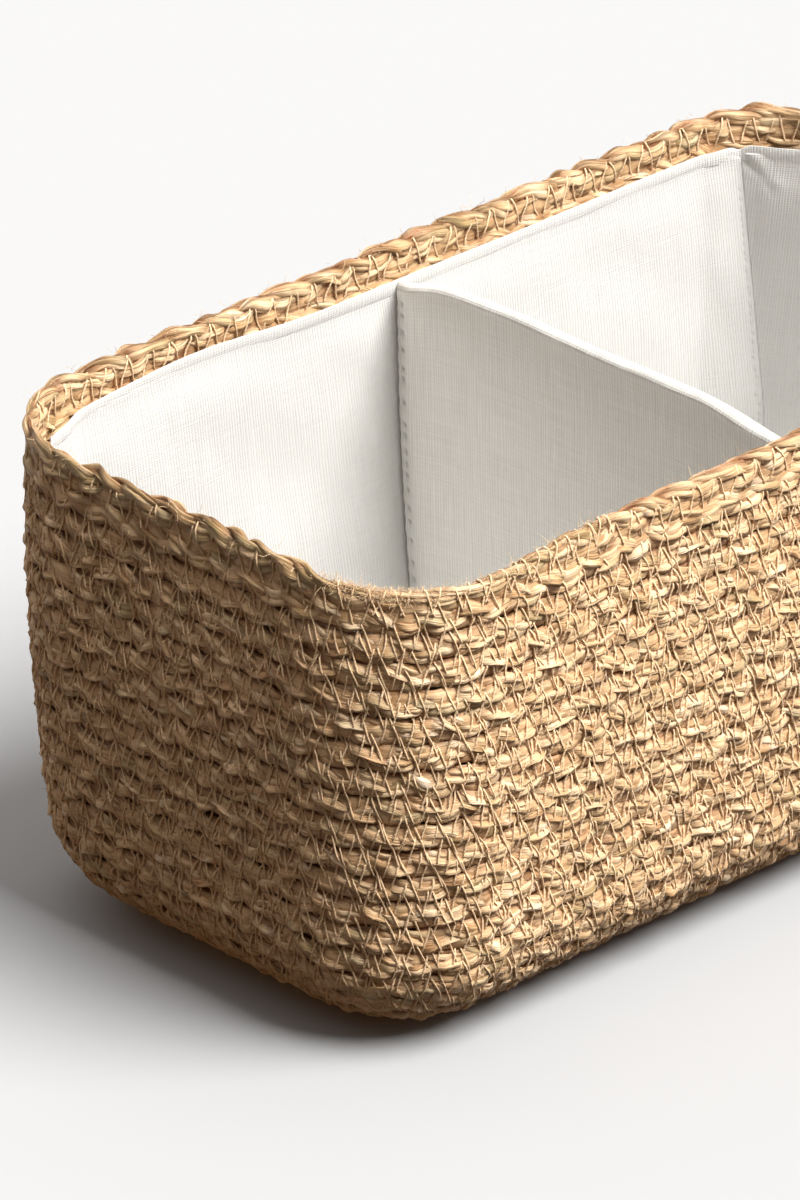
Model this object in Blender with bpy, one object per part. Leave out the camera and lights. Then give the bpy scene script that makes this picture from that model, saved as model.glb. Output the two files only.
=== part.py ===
"""Seagrass storage basket with a cloth lining and one padded divider.

A flat plait is laid round and round: first as a flat base, then up round the
bottom edge, then as upright courses to the rim.  A cloth lining follows the
inside, and a covered board splits it into two compartments.
Units are metres, +X runs along the length, +Z is up, the base stands on z = 0.
"""
import math

import bpy
from mathutils import Vector

# ---- overall size -------------------------------------------------------
LENGTH = 0.350
WIDTH = 0.187
HEIGHT = 0.162
WALL_TAPER = 0.0033          # each wall leans out this much towards the rim
WALL_BULGE = 0.0018          # and bellies out this much at mid height
CORNER_R = 0.0436            # outer plan radius of the upright corners
EDGE_R = 0.036               # outer radius where the base turns up
EDGE_TURN = math.radians(86)
BASE_CORNER_R = 0.016        # plan radius of the flat base's corners

# ---- plait --------------------------------------------------------------
PLAIT_T = 0.006              # thickness of the flat plait
ROUNDS = 26                  # rounds from the middle of the base to the rim
ROUND_GAP = 0.0003           # clear line between neighbouring rounds
FLANK = 0.28                 # half width of the flat part, as a share of the round
RIM_DIP = 0.0042             # the rim sits lower where the plait's end is sewn down
DIP_REACH = 0.075            # length of rim either side of that corner that dips

# ---- lining -------------------------------------------------------------
CLOTH_T = 0.0008
CLOTH_GAP = 0.0003
LINING_TOP = 0.1512
HEM_H = 0.0032
HEM_T = 0.0015
SEAM_COL = 3                 # corner column that carries the upright seam

# ---- divider ------------------------------------------------------------
DIVIDER_X = 0.002
BOARD_T = 0.0024
COVER_T = 0.0006
COVER_GAP = 0.0002
DIVIDER_TOP = 0.1560         # height of the straight part of its top edge
SHOULDER_DROP = 0.0046       # how far the top edge falls at either wall
SHOULDER_LEN = 0.26          # share of the half width that the fall takes

CORNER_SEGS = 5
TOL = 0.00001

PLAIT_COL = (0.56, 0.37, 0.19, 1.0)
RIM_COL = (0.62, 0.43, 0.23, 1.0)
CLOTH_COL = (0.85, 0.83, 0.78, 1.0)
BOARD_COL = (0.72, 0.66, 0.55, 1.0)


def clear_scene():
    for ob in list(bpy.data.objects):
        bpy.data.objects.remove(ob, do_unlink=True)
    for coll in list(bpy.data.collections):
        bpy.data.collections.remove(coll)
    for mat in list(bpy.data.materials):
        bpy.data.materials.remove(mat)


clear_scene()
SCENE = bpy.context.scene
SCENE.unit_settings.system = 'METRIC'
SCENE.unit_settings.scale_length = 1.0
BASKET = bpy.data.collections.new("seagrass_divided_basket")
SCENE.collection.children.link(BASKET)


def material(name, colour, roughness):
    mat = bpy.data.materials.new(name)
    mat.use_nodes = True
    bsdf = mat.node_tree.nodes["Principled BSDF"]
    bsdf.inputs["Base Color"].default_value = colour
    bsdf.inputs["Roughness"].default_value = roughness
    mat.diffuse_color = colour
    return mat


def add_mesh(name, verts, faces, mat):
    mesh = bpy.data.meshes.new(name)
    mesh.from_pydata([tuple(v) for v in verts], [], faces)
    mesh.validate()
    mesh.materials.append(mat)
    ob = bpy.data.objects.new(name, mesh)
    BASKET.objects.link(ob)
    return ob


# ---- profile of the plait's middle surface -------------------------------
HALF_T = PLAIT_T / 2
LONG_EXTRA = (LENGTH - WIDTH) / 2            # half length minus half width
ARC_R = EDGE_R - HALF_T
TOP_B = WIDTH / 2 - HALF_T
ARC_RISE = ARC_R * (1 - math.cos(EDGE_TURN))
ARC_OUT = ARC_R * math.sin(EDGE_TURN)
WALL_Z0 = HALF_T + ARC_RISE
WALL_H = HEIGHT - WALL_Z0
FLAT_B = TOP_B - WALL_TAPER - ARC_OUT        # half width of the flat base
WALL_S = ARC_R * EDGE_TURN                   # length of the turned-up edge
TOTAL_S = FLAT_B + WALL_S + WALL_H
PITCH = TOTAL_S / ROUNDS


def profile(s):
    """Half width, height and outward normal of the middle surface at s."""
    if s <= FLAT_B:
        return s, HALF_T, 0.0, -1.0
    if s <= FLAT_B + WALL_S:
        turn = (s - FLAT_B) / ARC_R
        return (FLAT_B + ARC_R * math.sin(turn),
                HALF_T + ARC_R * (1 - math.cos(turn)),
                math.sin(turn), -math.cos(turn))
    k = min(1.0, (s - FLAT_B - WALL_S) / WALL_H)
    b = TOP_B - WALL_TAPER * (1 - k) + WALL_BULGE * math.sin(math.pi * k)
    slope = (WALL_TAPER + WALL_BULGE * math.pi * math.cos(math.pi * k)) / WALL_H
    size = math.hypot(1.0, slope)
    return b, WALL_Z0 + WALL_H * k, 1.0 / size, -slope / size


def corner_radius(b):
    """Plan corner radius of the middle surface at half width b."""
    wall_b = TOP_B - WALL_TAPER
    if b <= FLAT_B:
        return min(b, BASE_CORNER_R * (0.45 + 0.55 * b / FLAT_B))
    k = min(1.0, (b - FLAT_B) / (wall_b - FLAT_B))
    return BASE_CORNER_R + (CORNER_R - HALF_T - BASE_CORNER_R) * k


def plan_columns(extra=()):
    """Columns round the plan, anticlockwise from the +X end.

    Each is (sign x, sign y, angle, slide): the corner it belongs to, its angle
    on that corner's arc, and how far it slides along the straight beyond it.
    """
    cols = []
    for i, (sx, sy) in enumerate(((1, 1), (-1, 1), (-1, -1), (1, -1))):
        before = sorted((d for c, d in extra if c == i and d < 0))
        after = sorted((d for c, d in extra if c == i and d > 0))
        cols += [(sx, sy, math.pi / 2 * i, d) for d in before]
        for n in range(CORNER_SEGS + 1):
            cols.append((sx, sy, math.pi / 2 * (i + n / CORNER_SEGS), 0.0))
        cols += [(sx, sy, math.pi / 2 * (i + 1), d) for d in after]
    return cols


def surface_point(col, s, lift=0.0, drop=0.0):
    """Point of the middle surface at column col and profile length s.

    lift moves it along the outward normal, drop lowers it.
    """
    sx, sy, ang, slide = col
    b, z, n_out, n_up = profile(s)
    r = corner_radius(b)
    a = b + LONG_EXTRA
    ux, uy = math.cos(ang), math.sin(ang)
    x = sx * (a - r) + r * ux - uy * slide
    y = sy * (b - r) + r * uy + ux * slide
    return Vector((x + ux * n_out * lift, y + uy * n_out * lift, z + n_up * lift - drop))


def column_normal(col, s):
    _, _, n_out, n_up = profile(s)
    return Vector((math.cos(col[2]) * n_out, math.sin(col[2]) * n_out, n_up))


def smooth_fall(d, reach):
    k = max(0.0, 1.0 - abs(d) / reach)
    return k * k * (3 - 2 * k)


NEAR_CORNER = 2                              # the corner at -X -Y
DIP_SLIDES = (0.012, 0.028, 0.046)
RIM_EXTRA = tuple((NEAR_CORNER, d) for d in DIP_SLIDES) + \
    tuple((NEAR_CORNER, -d) for d in DIP_SLIDES)


def dip_at(col):
    """How far the rim sits below its level height at this column."""
    sx, sy, ang, slide = col
    if (sx, sy) != (-1, -1):
        return 0.0
    swept = (ang - math.pi * 1.25) * CORNER_R
    return RIM_DIP * smooth_fall(swept + slide, DIP_REACH)


def plait_round(name, k, mat, cols, rim=False):
    """One closed round of plait between profile steps k and k + 1."""
    verts, faces = [], []
    s0, s1 = k * PITCH, (k + 1) * PITCH
    for col in cols:
        drop = dip_at(col) if rim else 0.0
        low = surface_point(col, s0)
        high = surface_point(col, s1, drop=drop)
        across = high - low
        mid = (low + high) / 2
        unit = across.normalized()
        normal = (column_normal(col, s0) + column_normal(col, s1)).normalized()
        edge = across / 2 - unit * (ROUND_GAP / 2 if not rim else 0.0)
        low_edge = across / 2 - unit * ROUND_GAP / 2
        flank = across * FLANK
        out = normal * HALF_T
        verts += [mid - low_edge, mid - flank + out, mid + flank + out,
                  mid + edge, mid + flank - out, mid - flank - out]
    n, m = len(cols), 6
    for c in range(n):
        d = (c + 1) % n
        for i in range(m):
            j = (i + 1) % m
            faces.append((c * m + i, d * m + i, d * m + j, c * m + j))
    return add_mesh(name, verts, faces, mat)


def core_plate(name, mat, cols):
    """The plait's first two straight runs, which fill the middle of the base."""
    s1 = PITCH - ROUND_GAP / 2
    shape = ((1.0, HALF_T), (0.72, 0.0), (0.72, PLAIT_T))
    rings = {}
    verts = []
    for label, (share, z) in zip(("edge", "low", "top"), shape):
        rings[label] = len(verts)
        for col in cols:
            p = surface_point(col, s1 * share)
            verts.append((p.x, p.y, z))
    n = len(cols)
    faces = []
    for c in range(n):
        d = (c + 1) % n
        e, lo, up = rings["edge"], rings["low"], rings["top"]
        faces.append((lo + c, lo + d, e + d, e + c))
        faces.append((e + c, e + d, up + d, up + c))
    faces.append(tuple(rings["low"] + c for c in reversed(range(n))))
    faces.append(tuple(rings["top"] + c for c in range(n)))
    return add_mesh(name, verts, faces, mat)


def shell(name, outer, inner, mat, closed=False):
    """Thin closed solid between two equal grids of points (rows of columns)."""
    rows, cols = len(outer), len(outer[0])
    verts = [p for row in outer for p in row] + [p for row in inner for p in row]
    off = rows * cols
    faces = []
    span = cols if closed else cols - 1
    for r in range(rows - 1):
        for c in range(span):
            d = (c + 1) % cols
            a, b = r * cols + c, r * cols + d
            e, f = a + cols, b + cols
            faces.append((a, b, f, e))
            faces.append((off + a, off + e, off + f, off + b))
    for c in range(span):
        d = (c + 1) % cols
        faces.append((c, off + c, off + d, d))
        t, u = (rows - 1) * cols + c, (rows - 1) * cols + d
        faces.append((t, u, off + u, off + t))
    if not closed:
        for r in range(rows - 1):
            a, e = r * cols, (r + 1) * cols
            faces.append((a, e, off + e, off + a))
            g, h = a + cols - 1, e + cols - 1
            faces.append((g, off + g, off + h, h))
    return add_mesh(name, verts, faces, mat)


# ---- lining --------------------------------------------------------------
FACE_LIFT = -(HALF_T + CLOTH_GAP)            # plait's inside face plus a clear gap
BACK_LIFT = FACE_LIFT - CLOTH_T


def s_at_height(z):
    return FLAT_B + WALL_S + WALL_H * (z - WALL_Z0) / WALL_H


LAST_FLAT = int(FLAT_B / PITCH)              # last step between rounds on the flat base
FIRST_WALL = math.ceil((FLAT_B + WALL_S) / PITCH)
PANEL_TOP = s_at_height(LINING_TOP - HEM_H - CLOTH_GAP)
LAST_STEP = int(PANEL_TOP / PITCH - 0.5)
ROW_STEPS = list(range(LAST_FLAT, FIRST_WALL)) + list(range(FIRST_WALL, LAST_STEP, 2))
ROWS_S = [step * PITCH for step in ROW_STEPS] + [PANEL_TOP]


def panel_columns(start_corner):
    """Columns of one lining panel, from one corner seam to the next."""
    cols = plan_columns()
    per = CORNER_SEGS + 1
    long_side = start_corner % 2 == 0
    first = SEAM_COL if long_side else per - 1 - SEAM_COL
    last = per - 1 - SEAM_COL if long_side else SEAM_COL
    begin = start_corner * per + first
    end = (start_corner + 1) * per + last
    return [cols[i % len(cols)] for i in range(begin, end + 1)]


def lining_panel(name, start_corner, mat):
    cols = panel_columns(start_corner)
    outer, inner = [], []
    for s in ROWS_S:
        row_out = [surface_point(c, s, FACE_LIFT) for c in cols]
        row_in = [surface_point(c, s, BACK_LIFT) for c in cols]
        for row in (row_out, row_in):
            for end, beside in ((0, 1), (-1, -2)):
                away = (row[beside] - row[end]).normalized()
                row[end] = row[end] + away * CLOTH_GAP / 2
        outer.append(row_out)
        inner.append(row_in)
    return shell(name, outer, inner, mat)


def lining_bottom(name, mat, cols):
    z_low = PLAIT_T + CLOTH_GAP
    s1 = ROWS_S[0] - CLOTH_GAP
    rows = []
    for z in (z_low, z_low + CLOTH_T):
        row = []
        for col in cols:
            p = surface_point(col, s1)
            row.append((p.x, p.y, z))
        rows.append(row)
    n = len(cols)
    verts = rows[0] + rows[1]
    faces = [tuple(reversed(range(n))), tuple(range(n, 2 * n))]
    for c in range(n):
        d = (c + 1) % n
        faces.append((c, d, n + d, n + c))
    return add_mesh(name, verts, faces, mat)


def lining_hem(name, mat, cols):
    s0, s1 = s_at_height(LINING_TOP - HEM_H), s_at_height(LINING_TOP)
    outer = [[surface_point(c, s, FACE_LIFT) for c in cols] for s in (s0, s1)]
    inner = [[surface_point(c, s, FACE_LIFT - HEM_T) for c in cols] for s in (s0, s1)]
    return shell(name, outer, inner, mat, closed=True)


# ---- divider -------------------------------------------------------------
SIDE_COL = (1, 1, math.pi / 2, 0.0)          # a column on the straight long wall
DIVIDER_COLS = 12


def divider_rows():
    """Heights and half widths of the space the divider fills."""
    rows = []
    for s in ROWS_S:
        p = surface_point(SIDE_COL, s, BACK_LIFT)
        rows.append((p.z, p.y - CLOTH_GAP))
    rows[0] = (PLAIT_T + CLOTH_GAP + CLOTH_T + CLOTH_GAP, rows[0][1])
    hem = surface_point(SIDE_COL, s_at_height(LINING_TOP - HEM_H), FACE_LIFT - HEM_T)
    rows[-1] = (hem.z - CLOTH_GAP, hem.y - CLOTH_GAP)
    return rows


def top_edge(u):
    """Height of the divider's top edge at share u of the half width."""
    k = max(0.0, (abs(u) - (1 - SHOULDER_LEN)) / SHOULDER_LEN)
    return DIVIDER_TOP - SHOULDER_DROP * k * k


def divider_face(x, top_cut=0.0):
    """Grid of points of one upright face of the divider at the given x."""
    grid = []
    rows = divider_rows()
    shares = [-1 + 2 * c / DIVIDER_COLS for c in range(DIVIDER_COLS + 1)]
    for z, half in rows:
        grid.append([Vector((x, half * u, z)) for u in shares])
    half = rows[-1][1]
    grid.append([Vector((x, half * u, top_edge(u) - top_cut)) for u in shares])
    return grid


def divider_board(name, mat):
    half = BOARD_T / 2
    cut = COVER_T + COVER_GAP
    return shell(name, divider_face(DIVIDER_X + half, cut),
                 divider_face(DIVIDER_X - half, cut), mat)


def divider_cover(name, mat):
    """One cloth folded over the board's top edge and hanging down both faces."""
    inside = BOARD_T / 2 + COVER_GAP
    outside = inside + COVER_T
    shares = (-outside, -inside, inside, outside)
    grids = [divider_face(DIVIDER_X + d, 0.0 if abs(d) > inside else COVER_T)
             for d in shares]
    rows, cols = len(grids[0]), len(grids[0][0])
    for g in (grids[0], grids[3]):
        for p in g[-1]:
            p.z -= COVER_T
    verts = [p for g in grids for row in g for p in row]
    ridge = len(verts)
    for side in (-1, 1):
        for p in grids[1][-1]:
            verts.append(Vector((DIVIDER_X + side * inside * 0.7, p.y, p.z + COVER_T)))
    size = rows * cols

    def at(g, r, c):
        return g * size + r * cols + c

    def top(side, c):
        return ridge + side * cols + c
    faces = []
    for r in range(rows - 1):
        for c in range(cols - 1):
            for g, flip in ((0, False), (1, True), (2, False), (3, True)):
                f = (at(g, r, c), at(g, r + 1, c), at(g, r + 1, c + 1), at(g, r, c + 1))
                faces.append(tuple(reversed(f)) if flip else f)
    last = rows - 1
    for c in range(cols - 1):
        d = c + 1
        faces.append((at(0, last, c), top(0, c), top(0, d), at(0, last, d)))
        faces.append((top(0, c), top(1, c), top(1, d), top(0, d)))
        faces.append((top(1, c), at(3, last, c), at(3, last, d), top(1, d)))
        faces.append((at(1, last, c), at(1, last, d), at(2, last, d), at(2, last, c)))
        for g in (0, 2):
            faces.append((at(g, 0, c), at(g, 0, d), at(g + 1, 0, d), at(g + 1, 0, c)))
    for c, flip in ((0, False), (cols - 1, True)):
        strips = []
        for g in (0, 2):
            for r in range(rows - 1):
                strips.append((at(g, r, c), at(g + 1, r, c), at(g + 1, r + 1, c), at(g, r + 1, c)))
        strips.append((at(0, last, c), at(1, last, c), top(0, c)))
        strips.append((top(0, c), at(1, last, c), at(2, last, c), top(1, c)))
        strips.append((top(1, c), at(2, last, c), at(3, last, c)))
        faces += [tuple(reversed(f)) if flip else f for f in strips]
    return add_mesh(name, verts, faces, mat)


# ---- build ---------------------------------------------------------------
PLAIT = material("seagrass_plait", PLAIT_COL, 0.75)
RIM = material("rim_plait", RIM_COL, 0.7)
LINING = material("lining_cloth", CLOTH_COL, 0.9)
COVER = material("divider_cloth", CLOTH_COL, 0.9)
BOARD = material("divider_board", BOARD_COL, 0.8)

COLS = plan_columns()
core_plate("base_core", PLAIT, COLS)
LAST = ROUNDS - 1
for number in range(1, LAST):
    if (number + 1) * PITCH <= FLAT_B + PITCH / 2:
        label = "base_round_%02d" % number
    elif number * PITCH < FLAT_B + WALL_S - PITCH / 2:
        label = "edge_round_%02d" % number
    else:
        label = "wall_round_%02d" % number
    plait_round(label, number, PLAIT, COLS)
plait_round("rim_round", LAST, RIM, plan_columns(RIM_EXTRA), rim=True)

lining_panel("lining_back", 0, LINING)
lining_panel("lining_left", 1, LINING)
lining_panel("lining_front", 2, LINING)
lining_panel("lining_right", 3, LINING)
lining_bottom("lining_bottom", LINING, COLS)
lining_hem("lining_hem", LINING, COLS)
divider_board("divider_board", BOARD)
divider_cover("divider_cover", COVER)
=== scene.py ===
"""Looks of the stitched seagrass basket: braided strands, zigzag sewing, lining, divider.

Every round of plait is three braided strands of four blades each.  The strands, the
sewing thread and the cloth are all placed on one surface, the plait's middle surface,
by (q, s, lift): q goes round the basket from 0 to 8 (corner, side, corner, ...),
s runs from the middle of the base up to the rim, and lift is the height above it.
"""
import math

import bmesh
import bpy
import numpy as np
from mathutils import Matrix, Vector


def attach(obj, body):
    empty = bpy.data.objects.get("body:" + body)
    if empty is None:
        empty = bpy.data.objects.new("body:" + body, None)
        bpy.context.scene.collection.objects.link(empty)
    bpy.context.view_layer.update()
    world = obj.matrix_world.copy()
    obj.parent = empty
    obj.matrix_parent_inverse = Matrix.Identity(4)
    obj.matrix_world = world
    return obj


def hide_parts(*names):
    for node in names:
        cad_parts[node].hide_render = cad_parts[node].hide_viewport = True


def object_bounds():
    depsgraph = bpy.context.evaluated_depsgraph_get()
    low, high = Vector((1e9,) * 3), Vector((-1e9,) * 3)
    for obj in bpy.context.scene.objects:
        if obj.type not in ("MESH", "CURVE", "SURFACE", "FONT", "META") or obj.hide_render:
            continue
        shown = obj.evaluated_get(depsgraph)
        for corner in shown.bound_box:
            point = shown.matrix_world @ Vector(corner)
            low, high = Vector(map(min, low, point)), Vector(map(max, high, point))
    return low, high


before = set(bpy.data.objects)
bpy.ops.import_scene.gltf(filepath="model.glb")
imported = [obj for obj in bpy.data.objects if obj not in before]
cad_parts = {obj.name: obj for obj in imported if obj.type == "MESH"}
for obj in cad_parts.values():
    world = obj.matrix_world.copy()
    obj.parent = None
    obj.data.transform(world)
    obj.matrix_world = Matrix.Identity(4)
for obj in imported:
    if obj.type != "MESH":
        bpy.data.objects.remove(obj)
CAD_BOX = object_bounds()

PI = math.pi
MM = 0.001

# ---- the basket's middle surface, from the frame's box ----
LENGTH = CAD_BOX[1].x - CAD_BOX[0].x - 0.9 * MM
WIDTH = CAD_BOX[1].y - CAD_BOX[0].y - 0.9 * MM
HEIGHT = CAD_BOX[1].z
WALL_TAPER = 3.3 * MM
WALL_BULGE = 1.8 * MM
CORNER_R = 43.6 * MM
EDGE_R = 36 * MM
EDGE_TURN = math.radians(86)
BASE_CORNER_R = 16 * MM
PLAIT_T = 6 * MM
ROUNDS = 26

HALF_T = PLAIT_T / 2
LONG_EXTRA = (LENGTH - WIDTH) / 2
ARC_R = EDGE_R - HALF_T
TOP_B = WIDTH / 2 - HALF_T
WALL_Z0 = HALF_T + ARC_R * (1 - math.cos(EDGE_TURN))
WALL_H = HEIGHT - WALL_Z0
WALL_B = TOP_B - WALL_TAPER
FLAT_B = WALL_B - ARC_R * math.sin(EDGE_TURN)
WALL_S = ARC_R * EDGE_TURN
TOTAL_S = FLAT_B + WALL_S + WALL_H
PITCH = TOTAL_S / ROUNDS
FIRST_EDGE = 6  # rounds below this lie flat in the base
FIRST_WALL = 12  # rounds from here up are upright
LAST = ROUNDS - 1
SIGN_X = np.array([1, -1, -1, 1])
SIGN_Y = np.array([1, 1, -1, -1])


def seeded(seed):
    return np.random.default_rng(seed)


def unit(v):
    return v / (np.linalg.norm(v, axis=-1, keepdims=True) + 1e-15)


def xyz(x, y, z):
    """Three numbers at every point of a grid."""
    return np.stack(np.broadcast_arrays(x, y, z), -1)


def bell(x):
    return np.exp(-x ** 2)


def profile(s):
    """Half width, height and outward normal of the middle surface at s."""
    s = np.asarray(s, float)
    turn = np.clip((s - FLAT_B) / ARC_R, 0, EDGE_TURN)
    k = (s - FLAT_B - WALL_S) / WALL_H
    kc = np.clip(k, 0, 1)
    slope = (WALL_TAPER + WALL_BULGE * PI * np.cos(PI * kc)) / WALL_H
    size = np.hypot(1, slope)
    wall = k > 0
    b = np.where(wall, TOP_B - WALL_TAPER * (1 - k) + WALL_BULGE * np.sin(PI * kc),
                 np.where(s > FLAT_B, FLAT_B + ARC_R * np.sin(turn), s))
    z = np.where(wall, WALL_Z0 + WALL_H * k, HALF_T + ARC_R * (1 - np.cos(turn)))
    out = np.where(wall, 1 / size, np.sin(turn))
    up = np.where(wall, -slope / size, -np.cos(turn))
    return b, z, out, up


def corner_radius(b):
    flat = np.minimum(b, BASE_CORNER_R * (0.45 + 0.55 * b / FLAT_B))
    k = np.clip((b - FLAT_B) / (WALL_B - FLAT_B), 0, 1)
    return np.where(b <= FLAT_B, flat, BASE_CORNER_R + (CORNER_R - HALF_T - BASE_CORNER_R) * k)


def surf(q, s, lift=0.0):
    """Points at q round the basket, s up the profile and lift above the surface."""
    q, s, lift = np.broadcast_arrays(np.mod(q, 8.0), s, lift)
    seg = np.minimum(q.astype(int), 7)
    t = q - seg
    i = seg // 2
    straight = seg % 2 == 1
    b, z, out, up = profile(s)
    b = np.maximum(b, 0)
    r = corner_radius(b)
    a = b + LONG_EXTRA
    ang = (i + np.where(straight, 1.0, t)) * PI / 2
    run = np.where(i % 2 == 0, 2 * (a - r), 2 * (b - r))
    slide = np.where(straight, t * run, 0)
    ux, uy = np.cos(ang), np.sin(ang)
    x = SIGN_X[i] * (a - r) + r * ux - uy * slide
    y = SIGN_Y[i] * (b - r) + r * uy + ux * slide
    return xyz(x + ux * out * lift, y + uy * out * lift, z + up * lift)


def ring_lengths(s):
    """Distance round the basket at the nine whole values of q."""
    b = float(profile(s)[0])
    r = float(corner_radius(b))
    arc, long, short = PI / 2 * r, 2 * (b + LONG_EXTRA - r), 2 * (b - r)
    return np.concatenate(([0], np.cumsum([arc, long, arc, short] * 2)))


def s_at_height(z):
    return FLAT_B + WALL_S + z - WALL_Z0


COLS = 1920  # columns of the tables, 0.5 mm apart at the rim
CELL = 0.25 * MM  # height of one row of the tables
ROWS = int((TOTAL_S + 3 * MM) / CELL)
WHOLE = np.arange(9.0)
MID_RUN = ring_lengths(FLAT_B + WALL_S + WALL_H / 2)  # at each whole q, at mid wall
RIM_RUN = ring_lengths(TOTAL_S)
COL_Q = np.interp(np.arange(COLS) * MID_RUN[-1] / COLS, MID_RUN, WHOLE)


def run_at(q):
    """Distance round the basket at mid wall."""
    return np.interp(np.mod(q, 8), WHOLE, MID_RUN)


def wobble(rng, u, low, high, size, terms=6):
    """Smooth noise that closes on itself, u from 0 to 1 round the basket."""
    total = np.zeros_like(u)
    for _ in range(terms):
        total += rng.normal() * np.sin(2 * PI * (rng.integers(low, high) * u + rng.random()))
    return size * total / math.sqrt(terms / 2)


# ---- rim corner where the plait's end is sewn down ----
RIM_DIP = 4.2 * MM
END_LEFT, END_RIGHT = -21 * MM, 79 * MM  # along the rim from the corner's middle
CORNER_L = (RIM_RUN[4] + RIM_RUN[5]) / 2


def ease(x):
    x = np.clip(x, 0, 1)
    return x * x * (3 - 2 * x)


def from_corner(q):
    """Distance along the rim from the middle of the near corner."""
    return np.interp(np.mod(q, 8), WHOLE, RIM_RUN) - CORNER_L


def rim_drop(q):
    """How far the rim sits below its level height at q."""
    d = from_corner(q)
    rise = ease((d + 46 * MM) / (42 * MM))
    fall = 1 - ease((d - 12 * MM) / (75 * MM))
    return RIM_DIP * rise * fall


def rim_end(q):
    """1 along the stretch of rim that is sewn over, 0 elsewhere."""
    d = from_corner(q)
    return ease((d - END_LEFT + 3 * MM) / (6 * MM)) * \
        (1 - ease((d - END_RIGHT + 4 * MM) / (8 * MM)))


# ---- braided strands ----
BRAID = 44 * MM  # length of one full turn of the braid
SWING = 2.05 * MM  # how far a strand swings across the plait
WEAVE = 0.95 * MM  # and in and out of it
BLADE_W, BLADE_T = 1.75 * MM, 0.62 * MM  # half width and half thickness
ROLL = 96 * MM  # the blades of a strand change places in this length
BLADE_SIZES = (1.0, 0.85, 0.95, 0.7)
BLADE_SWING, BLADE_RISE = 1.4 * MM, 0.7 * MM  # how far a blade strays from its strand


class Blade:
    """One blade of one strand of round k, as tables over the columns."""

    def __init__(self, rng, k, strand, blade):
        mid = (k + 0.5) * PITCH
        lengths = ring_lengths(max(mid, 3 * MM))
        self.run, self.girth, self.k = np.interp(COL_Q, WHOLE, lengths), lengths[-1], k
        girth = self.girth
        u = self.run / girth
        turns = max(4, round(girth / BRAID))
        lay = seeded(900 + k)
        own = seeded(100 * k + 10 * strand)
        angle = 2 * PI * (turns * u + lay.random() + strand / 3) + wobble(lay, u, 3, 20, 0.16)
        angle = angle + wobble(own, u, 8, 40, 0.13)
        rim = k == LAST
        across = SWING * (1 + wobble(own, u, 6, 50, 0.06)) * np.cos(angle)
        depth = WEAVE * np.sin(2 * angle) + wobble(own, u, 10, 70, 0.16 * MM)
        rolls = max(2, round(girth / ROLL))
        roll = 2 * PI * rolls * u + own.random() * 2 * PI + wobble(own, u, 4, 30, 0.8)
        roll = roll + 2 * PI * blade / len(BLADE_SIZES) + wobble(rng, u, 8, 50, 0.35)
        self.s = mid + across + BLADE_SWING * np.cos(roll)
        self.lift = depth + BLADE_RISE * np.sin(roll)
        self.wide = BLADE_W * BLADE_SIZES[blade] * (1 + wobble(rng, u, 12, 90, 0.15))
        self.thick = BLADE_T * (1 + wobble(rng, u, 12, 90, 0.12)) * (1 + 0.25 * np.cos(angle) ** 6)
        self.tilt = 0.28 * np.sin(roll * 2 + 0.7) + wobble(rng, u, 10, 60, 0.16) - 0.25 * np.sin(2 * angle)
        if rim:
            self.thick = self.thick * 1.2
            drop = rim_drop(COL_Q)
            squeeze = (PITCH - drop) / PITCH
            self.s = k * PITCH + (self.s - k * PITCH) * squeeze
            self.wide = self.wide * squeeze ** 0.8
            self.lift = self.lift * (1 - 0.25 * rim_end(COL_Q))
        self.seed = rng.random() * 40
        self.tone = wobble(rng, u, 8, 60, 0.55) + rng.normal() * 0.25
        pale = wobble(rng, u, 15, 60, 1.0)
        self.pale = ease((pale - 1.75) / 0.35)
        olive = wobble(rng, u, 4, 26, 0.5) + (0.15 if rim else -0.05)
        if rim:
            left = ease((COL_Q - 2.6) / 0.3) * (1 - ease((COL_Q - 4.5) / 0.4))
            olive = olive + 0.75 * left
        self.olive = np.clip(olive, 0, 1)


class Core:
    """Short stems inside a round, which close the gaps between its strands; their darker tone is painted
    shade of those gaps.
    """

    def __init__(self, k):
        lengths = ring_lengths(max((k + 0.5) * PITCH, 3 * MM))
        rng = seeded(50 + k)
        self.run, self.girth, self.k = np.interp(COL_Q, WHOLE, lengths), lengths[-1], k
        u = self.run / self.girth
        one = np.ones(COLS)
        self.s = (k + 0.5) * PITCH + wobble(rng, u, 5, 60, 0.2 * MM)
        self.wide = 4.2 * MM * one
        if k == LAST:
            self.s = LAST * PITCH + 1.2 * MM - 0.15 * rim_drop(COL_Q)
            self.wide = 3.6 * MM - 0.12 * rim_drop(COL_Q)
        self.lift, self.tilt = wobble(rng, u, 9, 70, 0.2 * MM), 0 * one
        self.thick = 1.35 * MM * (1 + wobble(rng, u, 20, 90, 0.15))
        # darker tone: painted shade of the gaps between strands
        self.seed, self.tone = rng.random() * 40, -0.35 * one
        self.pale, self.olive = 0 * one, 0 * one


BLADES = [Core(k) for k in range(ROUNDS)]
for k in range(ROUNDS):
    for strand in range(3):
        for blade in range(len(BLADE_SIZES)):
            BLADES.append(Blade(seeded(7000 + 100 * k + 10 * strand + blade), k, strand, blade))


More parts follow.
